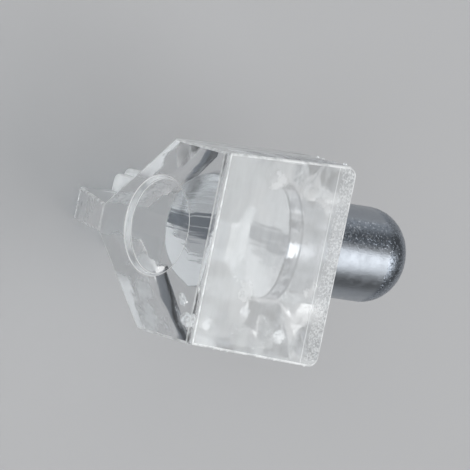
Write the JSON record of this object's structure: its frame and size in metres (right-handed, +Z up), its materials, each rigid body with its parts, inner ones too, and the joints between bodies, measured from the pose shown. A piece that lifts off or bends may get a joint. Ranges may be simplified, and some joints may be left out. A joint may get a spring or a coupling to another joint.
{
  "type": "shelf support pin",
  "caption": "Clear plastic shelf support with a flat top, sloping flanks, a leg on the wall and a moulded-in steel pin.",
  "frame": {"origin": "where the pin's axis crosses the wall face of the bracket", "axes": "+X out of the cabinet wall into the cabinet, +Z up towards the shelf, +Y along the wall; the pin points along -X"},
  "size_m": [0.0158, 0.0105, 0.016],
  "materials": {
    "clear_plastic": "clear, slightly milky on the shelf face",
    "plated_steel": "dull zinc or nickel plating"
  },
  "bodies": {
    "root": {"bracket": "clear_plastic", "pin": "plated_steel"}
  },
  "joints": []
}
